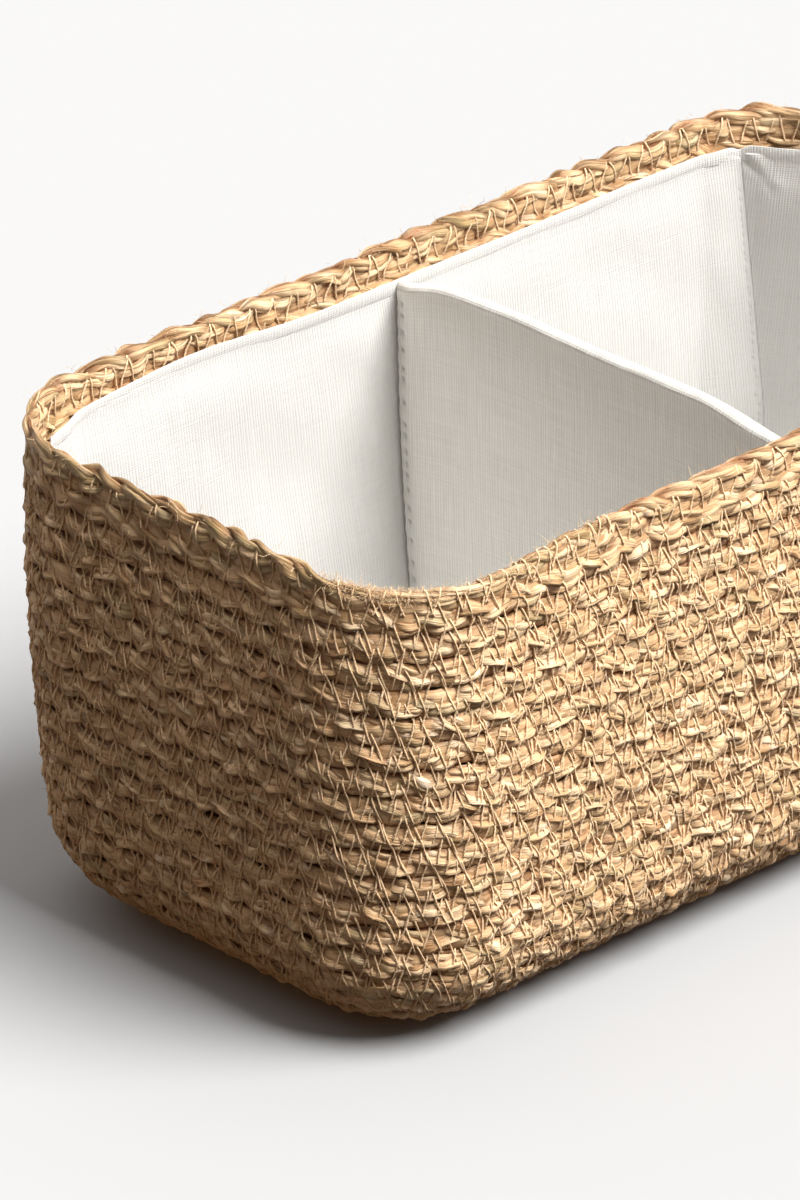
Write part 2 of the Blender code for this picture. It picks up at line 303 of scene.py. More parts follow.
def height_map(side):
    """Highest strand surface on the outside (side 1) or inside (side -1) of the plait."""
    table = np.full((COLS, ROWS), -1.0 * MM)
    span = int(2.4 * BLADE_W / CELL) + 2
    col = np.arange(COLS)[:, None]
    for b in BLADES:
        if isinstance(b, Core):
            continue
        first = np.floor((b.s - 1.2 * BLADE_W) / CELL).astype(int)
        row = first[:, None] + np.arange(span)
        across = (row * CELL - b.s[:, None]) / b.wide[:, None]
        dome = np.sqrt(np.clip(1 - across ** 2, 0, 1))
        lift = side * b.lift[:, None] + b.thick[:, None] * dome
        lift = np.where(across ** 2 < 1, lift, -1 * MM)
        ok = (row >= 0) & (row < ROWS)
        row = np.clip(row, 0, ROWS - 1)
        now = table[col, row]
        table[col, row] = np.where(ok, np.maximum(now, lift), now)
    return table


def blur(table, along, up):
    """Gaussian blur of a table, in metres; it wraps round the basket."""
    fa = np.fft.fftfreq(table.shape[0], MID_RUN[-1] / COLS)[:, None]
    fu = np.fft.rfftfreq(table.shape[1], CELL)[None, :]
    gain = np.exp(-2 * PI ** 2 * (fa ** 2 * along ** 2 + fu ** 2 * up ** 2))
    return np.fft.irfft2(np.fft.rfft2(table) * gain, s=table.shape)


def widened(table, along, up):
    """Running maximum of a table over so many cells each way."""
    out = table
    for reach, axis in ((along, 0), (up, 1)):
        base = out
        for move in range(-reach, reach + 1):
            out = np.maximum(out, np.roll(base, move, axis))
    return out


def look_up(table, q, s):
    """Bilinear reading of a table at (q, s)."""
    x = run_at(q) / MID_RUN[-1] * COLS
    y = np.clip(s / CELL, 0, ROWS - 1.001)
    xi, yi = np.floor(x).astype(int), np.floor(y).astype(int)
    fx, fy = x - xi, y - yi
    x0, x1 = xi % COLS, (xi + 1) % COLS
    return ((table[x0, yi] * (1 - fx) + table[x1, yi] * fx) * (1 - fy) +
            (table[x0, yi + 1] * (1 - fx) + table[x1, yi + 1] * fx) * fy)


# ---- zigzag sewing ----
STITCH = 8.5 * MM  # length of one zigzag
STITCH_H = 4.9 * MM  # half its height
THREAD_R = 0.31 * MM
LEG_POINTS = 7
DOWN_LEG = (0.0, 0.39)  # where each leg starts and ends, as shares of a stitch
UP_LEG = (0.56, 0.88)
SKIPPED = (LAST - 1, LAST)  # rounds without a row of stitches along their middle


class Row:
    """One row of zigzag stitches round the basket, centred at s."""

    def __init__(self, rng, s, side=1, span=None):
        lengths = ring_lengths(s)
        girth = lengths[-1]
        n = round(girth / STITCH)
        step = girth / n
        drift = wobble(rng, np.arange(n) / n, 1, 12, 0.35 * MM)
        start = np.arange(n) * step + rng.random() * step + rng.normal(0, 0.28 * MM, n)

        def ends(share, sign):
            x = start + share * step + rng.normal(0, 0.3 * MM, n)
            y = s + drift + sign * STITCH_H + rng.normal(0, 0.42 * MM, n)
            return x, y

        top0, low0 = ends(DOWN_LEG[0], 1), ends(DOWN_LEG[1], -1)
        low1, top1 = ends(UP_LEG[0], -1), ends(UP_LEG[1], 1)
        t = np.linspace(0, 1, LEG_POINTS)[None, :]
        xs, ys, ts = [], [], []
        after = np.roll(top0[0], -1)
        after[-1] += girth
        following = (after, np.roll(top0[1], -1))
        for (x0, y0), (x1, y1), (x2, y2) in ((top0, low0, low1), (low1, top1, following)):
            bow = rng.normal(0.15, 0.3, n)[:, None] * MM * 4 * t * (1 - t)
            xs.append(x0[:, None] + (x1 - x0)[:, None] * t + bow)
            ys.append(y0[:, None] + (y1 - y0)[:, None] * t)
            ts.append(np.broadcast_to(t, bow.shape))
            xs.append(((x1 + x2) / 2)[:, None])
            ys.append(((y1 + y2) / 2)[:, None])
            ts.append(np.full((n, 1), -1.0))
        x = np.concatenate(xs, 1).ravel()
        self.s = np.concatenate(ys, 1).ravel()
        self.t = np.concatenate(ts, 1).ravel()
        self.q = np.interp(np.mod(x, girth), lengths, WHOLE)
        if s > TOTAL_S - 1.2 * PITCH:
            self.s = self.s - (0.75 + 0.25 * rim_end(self.q)) * rim_drop(self.q)
        self.side = side
        self.seed = rng.random() * 30


def leg_samples(row, count=4):
    """Points along the row's legs, close enough together to press a groove."""
    on = (row.t >= 0) & (np.roll(row.t, -1) > row.t)
    nq, ns = np.roll(row.q, -1), np.roll(row.s, -1)
    on &= np.abs(nq - row.q) < 1
    f = np.linspace(0, 1, count, endpoint=False)[:, None]
    return (row.q[on] * (1 - f) + nq[on] * f).ravel(), (row.s[on] * (1 - f) + ns[on] * f).ravel()


FIRST_ROW_DROP = 7.4 * MM
ROW_LIST = []
for k in range(1, ROUNDS):
    centre = k * PITCH if k < LAST else TOTAL_S - FIRST_ROW_DROP
    ROW_LIST.append((k, Row(seeded(300 + k), centre)))
for k in range(FIRST_EDGE, ROUNDS):
    if k not in SKIPPED:
        ROW_LIST.append((k, Row(seeded(400 + k), (k + 0.5) * PITCH)))
INNER_ROW = Row(seeded(5), TOTAL_S - FIRST_ROW_DROP, side=-1)

DENT = 0.95 * MM  # how deep the thread pulls into the strands


def press_map(rows):
    marks = np.zeros((COLS, ROWS))
    for row in rows:
        q, s = leg_samples(row)
        x = np.round(run_at(q) / MID_RUN[-1] * COLS).astype(int) % COLS
        y = np.clip(np.round(s / CELL).astype(int), 0, ROWS - 1)
        np.add.at(marks, (x, y), 1)
    soft = blur(marks, 0.75 * MM, 0.6 * MM)
    return DENT * (1 - np.exp(-soft * 6))


class Relief:
    """Tables of one face of the plait, with its rows of thread pressed in."""

    def __init__(self, side, rows):
        self.sky = height_map(side)
        # top: the local top of the strands, from which the painted crevice shade of the blades is measured
        self.top = blur(widened(self.sky, 5, 7), 1.2 * MM, 1.0 * MM)
        self.press = press_map(rows)
        self.bed = np.maximum(blur(self.sky, 0.8 * MM, 1.0 * MM), self.sky) - self.press


OUTER = Relief(1, [row for _, row in ROW_LIST])
INNER = Relief(-1, [INNER_ROW])


# ---- meshes ----
def new_mesh(name, verts, faces, mat, slot, nodes=(), **fields):
    """Object from arrays of points and faces; each field is a vector at every point."""
    verts = verts.reshape(-1, 3)
    me = bpy.data.meshes.new(name)
    me.vertices.add(len(verts))
    me.vertices.foreach_set("co", np.ascontiguousarray(verts, np.float32).ravel())
    corners = faces.shape[1]
    me.loops.add(len(faces) * corners)
    me.loops.foreach_set("vertex_index", np.ascontiguousarray(faces, np.int32).ravel())
    me.polygons.add(len(faces))
    me.polygons.foreach_set("loop_start", np.arange(len(faces), dtype=np.int32) * corners)
    me.update(calc_edges=True)
    me.shade_smooth()
    for label, values in fields.items():
        layer = me.attributes.new(label, 'FLOAT_VECTOR', 'POINT')
        layer.data.foreach_set("vector", np.ascontiguousarray(values, np.float32).ravel())
    me.materials.append(mat)
    ob = bpy.data.objects.new(name, me)
    bpy.context.scene.collection.objects.link(ob)
    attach(ob, "root")
    if nodes:
        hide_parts(*nodes)
    return ob


def loop_faces(sections, sides, closed=True):
    """Quads of a tube of rings of points; capped elsewhere if it isn't closed."""
    i = np.arange(sections if closed else sections - 1)[:, None]
    j = np.arange(sides)[None, :]
    a = i * sides + j
    b = i * sides + (j + 1) % sides
    c = ((i + 1) % sections) * sides + (j + 1) % sides
    d = ((i + 1) % sections) * sides + j
    return np.stack(np.broadcast_arrays(a, b, c, d), -1).reshape(-1, 4)


class Batch:
    """Several tubes gathered into one mesh."""

    def __init__(self):
        self.parts, self.count = [], 0

    def add(self, verts, faces, fibre, tint):
        points = [a.reshape(-1, 3) for a in (verts, fibre, tint)]
        self.parts.append((faces + self.count, *points))
        self.count += len(points[0])

    def build(self, name, mat, slot, nodes=()):
        faces, verts, fibre, tint = (np.concatenate(a) for a in zip(*self.parts))
        new_mesh(name, verts, faces, mat, slot, nodes, fibre=fibre, tint=tint)


# section angles of a blade: more of them on the outside, where it is seen
BLADE_SIDES = np.radians([-14, 14, 46, 78, 110, 142, 166, 194, 270])
RIM_SIDES = np.radians([-12, 12, 45, 75, 105, 135, 168, 192, 225, 255, 285, 315])


def blade_tube(batch, b, step, sides):
    pick = np.arange(0, COLS, step)
    q = COL_Q[pick][:, None]
    ca, sa = np.cos(sides)[None, :], np.sin(sides)[None, :]
    wide, thick, tilt = b.wide[pick, None], b.thick[pick, None], b.tilt[pick, None]
    u = (b.run[pick] / b.girth)[:, None]
    ridge = 1 + 0.11 * np.sin(3 * sides[None, :] + 2 * PI * 21 * u + b.seed) \
        + 0.09 * np.sin(5 * sides[None, :] - 2 * PI * 34 * u)
    dv, dw = wide * ca * ridge, thick * sa * ridge
    s = b.s[pick, None] + dv * np.cos(tilt) - dw * np.sin(tilt)
    lift = b.lift[pick, None] + dv * np.sin(tilt) + dw * np.cos(tilt)
    facing = np.clip((lift / MM + 0.4) / 1.2, 0, 1)
    # painted shade: depth below the local top of the strands, in mm, which darkens the blades in the
    # crevices
    crevice_shade = np.clip((look_up(OUTER.top, q, s) - lift) / MM, 0, 4)
    lift = lift - look_up(OUTER.press, q, s) * facing
    if b.k >= LAST - 1:
        facing_in = np.clip((-lift / MM + 0.4) / 1.2, 0, 1)
        lift = lift + look_up(INNER.press, q, s) * facing_in
        crevice_shade_in = np.clip((look_up(INNER.top, q, s) + lift) / MM, 0, 4)
        crevice_shade = np.where(lift > 0, crevice_shade, crevice_shade_in)
    fibre = xyz(b.run[pick, None], sides[None, :] * 1.5 * MM, b.seed)
    # the three values: tone, olive less pale, and the depth that paints crevice shade
    tint = xyz(b.tone[pick, None], b.olive[pick, None] - 2 * b.pale[pick, None], crevice_shade)
    batch.add(surf(q, s, lift), loop_faces(len(pick), len(sides)), fibre, tint)


def path_tube(batch, points, normals, radius, sides, closed, seed):
    """Round tube along points; normals steady its section. Open tubes have even sides."""
    if closed:
        ahead, behind = np.roll(points, -1, 0), np.roll(points, 1, 0)
    else:
        ahead = np.concatenate([points[1:], points[-1:]])
        behind = np.concatenate([points[:1], points[:-1]])
    tangent = unit(ahead - behind)
    side = unit(np.cross(tangent, normals))
    up = np.cross(side, tangent)
    beta = np.arange(sides) * 2 * PI / sides
    radius = np.broadcast_to(radius, len(points))[:, None, None]
    ring = (np.cos(beta)[None, :, None] * side[:, None, :] +
            np.sin(beta)[None, :, None] * up[:, None, :]) * radius
    run = np.concatenate([[0], np.cumsum(np.linalg.norm(np.diff(points, axis=0), axis=1))])
    fibre = xyz(run[:, None], beta[None, :], seed)
    faces = loop_faces(len(points), sides, closed)
    if not closed:
        caps = [[0, j, j + 1, j + 2] for j in range(1, sides - 1, 2)]
        last = (len(points) - 1) * sides
        ends = [[last + v for v in quad] for quad in caps] + [quad[::-1] for quad in caps]
        faces = np.concatenate([faces, np.array(ends)])
    batch.add(points[:, None, :] + ring, faces, fibre, 0 * fibre)


def stitch_tube(batch, row, bed, sides):
    """One row of zigzag thread, lying on the strands and diving between its legs."""
    on = row.t >= 0
    lift = look_up(bed, row.q, row.s)
    taut = np.where(on, lift, -9)
    for _ in range(4):
        ahead, behind = np.maximum(np.roll(taut, -1), taut), np.maximum(np.roll(taut, 1), taut)
        taut = np.maximum(taut, 0.5 * (ahead + behind) - 0.12 * MM)
    dip = 0.9 * MM * (1 - ease(np.minimum(row.t, 1 - row.t) / 0.1))
    lift = np.where(on, taut + THREAD_R * 0.7 - dip, lift - 1.5 * MM)
    lift = np.maximum(lift, -0.5 * MM) * row.side
    p = surf(row.q, row.s, lift)
    n = surf(row.q, row.s, lift + MM * row.side) - p
    path_tube(batch, p, unit(n), THREAD_R, sides, True, row.seed)


# ---- materials ----
class Graph:
    """Short calls for building the nodes of one material or world."""

    def __init__(self, name, library=bpy.data.materials, shader="Principled BSDF"):
        self.block = library.new(name)
        self.block.use_nodes = True
        self.nodes = self.block.node_tree.nodes
        self.link = self.block.node_tree.links.new
        self.shader = self.nodes[shader]

    def fill(self, socket, value):
        """Link a socket, or give it a number or a colour."""
        if isinstance(value, (int, float)):
            socket.default_value = value
        elif isinstance(value, tuple):
            socket.default_value = (*value, 1)
        else:
            self.link(value, socket)

    def split(self, vector):
        n = self.nodes.new("ShaderNodeSeparateXYZ")
        self.link(vector, n.inputs[0])
        return n.outputs

    def attribute(self, name):
        n = self.nodes.new("ShaderNodeAttribute")
        n.attribute_name = name
        return self.split(n.outputs["Vector"])

    def math(self, op, a, b=0.0, c=0.0, clamp=False):
        n = self.nodes.new("ShaderNodeMath")
        n.operation = op
        n.use_clamp = clamp
        for i, v in enumerate((a, b, c)):
            self.fill(n.inputs[i], v)
        return n.outputs[0]

    def mul(self, a, b, clamp=False):
        return self.math('MULTIPLY', a, b, clamp=clamp)

    def add(self, a, b, clamp=False):
        return self.math('ADD', a, b, clamp=clamp)

    def rise(self, value, low, high):
        """0 below low, 1 above high."""
        n = self.nodes.new("ShaderNodeMapRange")
        for i, v in enumerate((value, low, high)):
            self.fill(n.inputs[i], v)
        return n.outputs[0]

    def vector(self, x, y, z):
        n = self.nodes.new("ShaderNodeCombineXYZ")
        for i, v in enumerate((x, y, z)):
            self.fill(n.inputs[i], v)
        return n.outputs[0]

    def noise(self, vector, scale=1.0, detail=2.0, rough=0.5):
        n = self.nodes.new("ShaderNodeTexNoise")
        n.inputs["Scale"].default_value = scale
        n.inputs["Detail"].default_value = detail
        n.inputs["Roughness"].default_value = rough
        self.link(vector, n.inputs["Vector"])
        return n.outputs["Fac"]

    def grain(self, x, x_scale, y, y_scale, seed, detail, rough=0.5):
        """Noise that is stretched by a scale each way."""
        where = self.vector(self.mul(x, x_scale), self.mul(y, y_scale), seed)
        return self.noise(where, 1.0, detail, rough)

    def ramp(self, fac, stops):
        n = self.nodes.new("ShaderNodeValToRGB")
        els = n.color_ramp.elements
        while len(els) < len(stops):
            els.new(0.5)
        for el, (pos, col) in zip(els, stops):
            el.position = pos
            el.color = (*col, 1)
        self.link(fac, n.inputs[0])
        return n.outputs["Color"]

    def mix(self, fac, a, b, blend='MIX'):
        n = self.nodes.new("ShaderNodeMix")
        n.data_type = 'RGBA'
        n.blend_type = blend
        for i, v in ((0, fac), (6, a), (7, b)):
            self.fill(n.inputs[i], v)
        return n.outputs[2]

    def bump(self, height, distance, strength=1.0, normal=None):
        n = self.nodes.new("ShaderNodeBump")
        n.inputs["Distance"].default_value = distance
        n.inputs["Strength"].default_value = strength
        self.link(height, n.inputs["Height"])
        if normal is not None:
            self.link(normal, n.inputs["Normal"])
        return n.outputs[0]

    def set(self, name, value):
        self.fill(self.shader.inputs[name], value)


def seagrass(name):
    g = Graph(name)
    along, across, seed = g.attribute("fibre")
    tone, olive, crevice_shade = g.attribute("tint")
    fine = g.grain(along, 90, across, 3200, seed, 3, 0.6)
    broad = g.grain(along, 45, across, 700, seed, 2)
    blotch = g.grain(along, 160, across, 260, seed, 3)
    value = g.add(g.mul(tone, 0.16), g.mul(fine, 0.6))
    value = g.add(value, g.mul(broad, 0.45), clamp=True)
    base = g.ramp(value, [(0.22, (0.30, 0.145, 0.055)), (0.38, (0.60, 0.365, 0.175)),
                          (0.55, (0.79, 0.545, 0.310)), (0.8, (0.92, 0.715, 0.480))])
    green = g.mul(g.math('MAXIMUM', olive, 0.0), 0.62)
    base = g.mix(green, base, g.mix(fine, (0.20, 0.13, 0.045), (0.46, 0.37, 0.17)))
    pale = g.mul(g.math('MAXIMUM', g.mul(olive, -0.5), 0.0), 0.6, clamp=True)
    pale = g.mul(pale, g.math('GREATER_THAN', blotch, 0.42))
    base = g.mix(pale, base, (0.80, 0.66, 0.50))
    red = g.mul(g.math('SUBTRACT', blotch, 0.55), 2.2, clamp=True)
    base = g.mix(red, base, (0.52, 0.25, 0.115))
    # painted crevice shade: the deeper below the local top of the strands, the darker and redder the blade
    painted_crevice_shade = g.mul(g.math('SUBTRACT', crevice_shade, 0.35), 0.5, clamp=True)
    base = g.mix(painted_crevice_shade, base, g.mix(1.0, base, (0.30, 0.15, 0.065), 'MULTIPLY'))
    g.set("Base Color", base)
    g.set("Roughness", g.add(g.mul(fine, 0.25), 0.36))
    g.set("Specular IOR Level", 0.42)
    normal = g.bump(fine, 0.5 * MM, 0.8)
    g.set("Normal", g.bump(broad, 0.9 * MM, 0.7, normal))
    return g.block


def sewing_thread(name):
    g = Graph(name)
    along, beta, seed = g.attribute("fibre")
    twist = g.math('SINE', g.add(g.mul(along, 2 * PI / (1.25 * MM)), beta))
    ply = g.mul(g.add(twist, 1.0), 0.5)
    vary = g.noise(g.vector(g.mul(along, 60), seed, 0.0), 1.0, 2)
    lint = g.noise(g.vector(g.mul(along, 2500), beta, seed), 1.0, 2)
    col = g.mix(ply, (0.77, 0.54, 0.32), (0.88, 0.66, 0.42))
    col = g.mix(g.mul(vary, 0.5), col, (0.68, 0.46, 0.25))
    g.set("Base Color", g.mix(g.mul(lint, 0.25), col, (0.90, 0.71, 0.49)))
    g.set("Roughness", 0.78)
    g.set("Specular IOR Level", 0.25)
    g.set("Sheen Weight", 0.15)
    g.set("Normal", g.bump(ply, 0.2 * MM, 0.4))
    return g.block


def slub_cloth(name, low, high, grain):
    """Plain weave with thicker slubs; fibre holds metres across and up the cloth."""
    g = Graph(name)
    x, y, seed = g.attribute("fibre")
    tone, painted_shade, _ = g.attribute("tint")
    pitch, pitch_y = 2 * PI / (1.1 * MM), 2 * PI / (0.78 * MM)
    wander_x = g.grain(x, 300, y, 25, seed, 2)
    wander_y = g.grain(x, 25, y, 300, seed, 2)
    warp = g.math('SINE', g.add(g.mul(x, pitch), g.mul(wander_x, 9)))
    weft = g.math('SINE', g.add(g.mul(y, pitch_y), g.mul(wander_y, 9)))
    weave = g.add(g.mul(warp, 0.65), g.mul(weft, 0.35))
    slub_up = g.grain(x, 1500, y, 45, seed, 3, 0.65)
    slub_side = g.grain(x, 38, y, 1350, seed, 3, 0.65)
    slubs = g.add(g.mul(slub_up, 0.6), g.mul(slub_side, 0.4))
    nap = g.grain(x, 4200, y, 4200, seed, 2)
    fac = g.add(g.mul(slubs, 0.75), g.mul(weave, grain))
    fac = g.add(fac, g.mul(nap, 0.15), clamp=True)
    col = g.ramp(fac, [(0.25, low), (0.62, high)])
    # painted shade: stitch dimples and the divider's fold are darkened toward this colour
    col = g.mix(g.mul(painted_shade, 0.8, clamp=True), col, (0.16, 0.14, 0.11))
    g.set("Base Color", col)
    g.set("Roughness", 0.88)
    g.set("Specular IOR Level", 0.2)
    g.set("Sheen Weight", 0.12)
    normal = g.bump(weave, 0.12 * MM, 0.6)
    g.set("Normal", g.bump(slubs, 0.5 * MM, 0.55, normal))
    return g.block


SEAGRASS = seagrass("seagrass_blades")
THREAD = sewing_thread("sewing_thread")
# The lining is the same off-white cloth as the divider; its grey colour is painted shade that tones down
# the strong light falling on it.
LINING = slub_cloth("lining_slub_weave", (0.53, 0.522, 0.503), (0.61, 0.602, 0.582), 0.03)
DIVIDER = slub_cloth("divider_slub_weave", (0.72, 0.70, 0.655), (0.92, 0.905, 0.87), 0.15)


# ---- build: plait ----
def round_name(k):
    if k == 0:
        return "base_core"
    if k == LAST:
        return "rim_round"
    kind = "base" if k < FIRST_EDGE else "edge" if k < FIRST_WALL else "wall"
    return "%s_round_%02d" % (kind, k)


for k in range(ROUNDS):
    batch = Batch()
    rim = k >= LAST - 1
    for b in BLADES:
        if b.k == k:
            blade_tube(batch, b, 3 if k >= FIRST_EDGE else 5, RIM_SIDES if rim else BLADE_SIDES)
    batch.build("plait_" + round_name(k), SEAGRASS,
                "rim_plait" if k == LAST else "seagrass_plait", [round_name(k)])

# ---- build: sewing ----
GROUP = 4  # rounds whose rows of stitches share one piece
for first in range(1, ROUNDS, GROUP):
    batch = Batch()
    for k, row in ROW_LIST:
        if first <= k < first + GROUP:
            stitch_tube(batch, row, OUTER.bed, 5 if k >= FIRST_EDGE else 4)
    batch.build("stitches_%02d_to_%02d" % (first, min(LAST, first + GROUP - 1)), THREAD,
                "seagrass_plait")
batch = Batch()
stitch_tube(batch, INNER_ROW, INNER.bed, 5)
batch.build("stitches_inside_rim", THREAD, "rim_plait")

# ---- build: rim's sewn end, lint and loose fibres ----
RIM_BOTTOM = LAST * PITCH
CREST = 9.0 * MM  # height of the rim's top above its lower edge
LOOP_STEP = 4.3 * MM


def crest_s(q):
    return RIM_BOTTOM + CREST * (PITCH - rim_drop(q)) / PITCH


def rim_q(d):
    """q at distance d along the rim from the middle of the near corner."""
    return np.interp(np.mod(CORNER_L + d, RIM_RUN[-1]), RIM_RUN, WHOLE)


def rim_path(d, turn):
    """Point and normal over the rim: turn runs from outside (0) over the top to inside (1)."""
    q = rim_q(d)
    top = crest_s(q)
    low_out, low_in = 7.6 * MM, 5.0 * MM
    bend = 2.2 * MM
    ang = np.clip((turn - 0.38) / 0.3, 0, 1) * PI
    s = np.where(turn < 0.38, top - bend - (low_out - bend) * (0.38 - turn) / 0.38,
                 np.where(turn > 0.68, top - bend - (low_in - bend) * (turn - 0.68) / 0.32,
                          top - bend + (bend + 0.2 * MM) * np.sin(ang)))
    below = np.minimum(s, top - 1.2 * MM)
    outer = np.maximum(look_up(OUTER.bed, q, below), 1.2 * MM) + 0.25 * MM
    inner = np.maximum(look_up(INNER.bed, q, below), 1.2 * MM) + 0.25 * MM
    lift = np.where(ang < PI / 2, outer * np.cos(ang), inner * np.cos(ang))
    lift = np.where(turn < 0.04, lift - 1.3 * MM, np.where(turn > 0.96, lift + 1.3 * MM, lift))
    p = surf(q, s, lift)
    away = p - surf(q, top - bend, 0.0)
    n = np.where((ang > 0.01)[:, None] & (ang < 3.13)[:, None], away,
                 surf(q, s, lift + np.where(ang < 1, MM, -MM)) - p)
    return p, unit(n)


rng = seeded(61)
batch = Batch()
turn = np.linspace(0, 1, 25)
for i, d in enumerate(np.arange(END_LEFT + 3 * MM, END_RIGHT, LOOP_STEP)):
    lean = rng.normal(0.0, 0.4 * MM) + (2.6 * MM if i % 2 else -2.3 * MM)
    where = d + rng.normal(0, 0.5 * MM) + lean * (turn - 0.5) * 2
    where = where + rng.normal(0, 0.5 * MM) * np.sin(turn * PI)
    p, n = rim_path(where, turn)
    path_tube(batch, p, n, THREAD_R * 0.95, 6, False, rng.random() * 30)
batch.build("stitches_over_rim_end", THREAD, "rim_plait")


LINT_COUNT, WHISKER_COUNT, STUB_COUNT = 900, 420, 260
CURL_POINTS = 6


def stray_fibre(batch, rng, start, way, length, bend, radius=None):
    """Thin fibre from start that curls at random; lint draws its own radius."""
    points, here, turning = [start], start, way
    for _ in range(CURL_POINTS - 1):
        turning = unit(turning + rng.normal(0, bend, 3))
        here = here + turning * length / (CURL_POINTS - 1)
        points.append(here)
    side = np.tile(np.cross(way, rng.normal(0, 1, 3)), (CURL_POINTS, 1))
    if radius is None:
        radius = rng.uniform(0.035, 0.07) * MM
    path_tube(batch, np.array(points), side, radius, 4, False, rng.random() * 30)


rng = seeded(62)
batch = Batch()
for i in range(LINT_COUNT + WHISKER_COUNT):
    near = i < LINT_COUNT
    if near:
        d = rng.normal(-5 * MM, 9 * MM) if i % 3 else rng.uniform(-22 * MM, 75 * MM)
    else:
        d = rng.uniform(0, RIM_RUN[-1])
    turn = np.array([0.0, rng.uniform(0.36, 0.66), 0.0])
    p, n = rim_path(np.full(3, d), turn)
    way = unit(n[1] + rng.normal(0, 0.7, 3))
    size = rng.uniform(1.5, 3.4) * MM if near else rng.uniform(1.5, 5.5) * MM
    stray_fibre(batch, rng, p[1] - way * 0.4 * MM, way, size, 0.55 if near else 0.22)
batch.build("rim_lint", THREAD, "rim_plait")

batch = Batch()
for i in range(STUB_COUNT):
    q, s = rng.uniform(0, 8), rng.uniform(FLAT_B + 10 * MM, TOTAL_S - 4 * MM)
    lift = float(look_up(OUTER.sky, np.array([q]), np.array([s]))[0])
    way = unit(unit(surf(q, s, lift + MM) - surf(q, s, lift)) + rng.normal(0, 0.8, 3))
    stray_fibre(batch, rng, surf(q, s, lift - 0.5 * MM), way, rng.uniform(2, 5) * MM, 0.2,
                np.linspace(0.11, 0.05, CURL_POINTS) * MM)
batch.build("loose_fibres", SEAGRASS, "seagrass_plait")

# ---- build: lining ----
CLOTH_HALF = 0.35 * MM
CLOTH_LIFT = -(HALF_T + 0.75 * MM)  # middle of the cloth where it is sewn to the plait
LOOSE = 1.4 * MM  # how far it stands off between its seams
HEM_H, HEM_HALF = 5.0 * MM, 0.42 * MM
LINING_Z = 151 * MM
SEAM_TOP, SEAM_LOW = 0.71, 0.556  # share of the corner where its seam lies, top and low
SEAM_LOW_Z = 60 * MM
DIVIDER_TOP_X, DIVIDER_LOW_X = 0.9 * MM, 3.1 * MM
FLOOR_S = 5 * PITCH
CHORD = 0.75  # how straight the cloth cuts across a corner


def seam_share(z):
    k = np.clip((z - SEAM_LOW_Z) / (LINING_Z - SEAM_LOW_Z), 0, 1)
    return SEAM_LOW + (SEAM_TOP - SEAM_LOW) * k


def seam_q(corner, z):
    """q of the upright seam at a corner; each seam lies nearer the short wall."""
    share = seam_share(z)
    return 2 * corner + (share if corner % 2 == 0 else 1 - share)


def lining_top(q):
    """Height of the lining's top edge."""
    p = surf(q, np.full_like(q, TOTAL_S))
    back = p[..., 1] > 0
    rise = 3.0 * MM * bell((p[..., 0] + 84 * MM) / (34 * MM)) * back
    dip = 3.6 * MM * bell((p[..., 0] + 158 * MM) / (19 * MM)) * back
    tuck = 1.5 * MM * bell((q - seam_q(0, LINING_Z)) / 0.035)
    wave = wobble(seeded(61), q / 8, 3, 22, 0.35 * MM)
    return LINING_Z - 0.3 * MM + rise - dip - tuck + wave - 0.85 * rim_drop(q)


def divider_x(z):
    k = np.clip((z - SEAM_LOW_Z) / (LINING_Z - SEAM_LOW_Z), -0.5, 1.2)
    return DIVIDER_LOW_X + (DIVIDER_TOP_X - DIVIDER_LOW_X) * k


def waves(seed, x, y, low, high, size, terms=9):
    """Smooth two-way noise over points in metres, with waves low to high long."""
    rng = seeded(seed)
    total = np.zeros(np.broadcast(x, y).shape)
    for _ in range(terms):
        f = 2 * PI / rng.uniform(low, high)
        way = rng.uniform(0, PI)
        total += np.sin(f * (x * np.cos(way) + y * np.sin(way)) + rng.uniform(0, 2 * PI))
    return size * total / math.sqrt(terms / 2)


def cloth_point(q, s, lift):
    """Point of the lining: it cuts across the corners instead of following them."""
    arc = surf(q, s, lift)
    seg = np.minimum(np.mod(q, 8).astype(int), 7)
    corner = seg // 2
    z = profile(s)[1]
    seam = 2 * corner + np.where(corner % 2 == 0, seam_share(z), 1 - seam_share(z))
    qm = np.mod(q, 8)
    first = qm < seam
    start = np.where(first, 2.0 * corner, 2.0 * corner + 1)
    t = np.clip((qm - start) / (seam - start), 0, 1)
    chord = surf(start, s, lift) * (1 - t)[..., None] + surf(seam, s, lift) * t[..., None]
    weight = CHORD * ease(t / 0.4) * (seg % 2 == 0) * ease((s - FLOOR_S) / (25 * MM))
    return arc * (1 - weight)[..., None] + chord * weight[..., None]


def seam_distance(q, z):
    """Metres to the nearest upright seam of the lining."""
    best = np.full(np.shape(q), 1.0)
    for corner in range(4):
        gap = np.abs(run_at(q) - run_at(seam_q(corner, z)))
        best = np.minimum(best, np.minimum(gap, MID_RUN[-1] - gap))
    return best


def weld(ob):
    """Merges points that lie on each other, which closes a sheet's thin ends."""
    bm = bmesh.new()
    bm.from_mesh(ob.data)
    bmesh.ops.remove_doubles(bm, verts=bm.verts, dist=2e-6)
    bm.to_mesh(ob.data)
    bm.free()
    ob.data.shade_smooth()


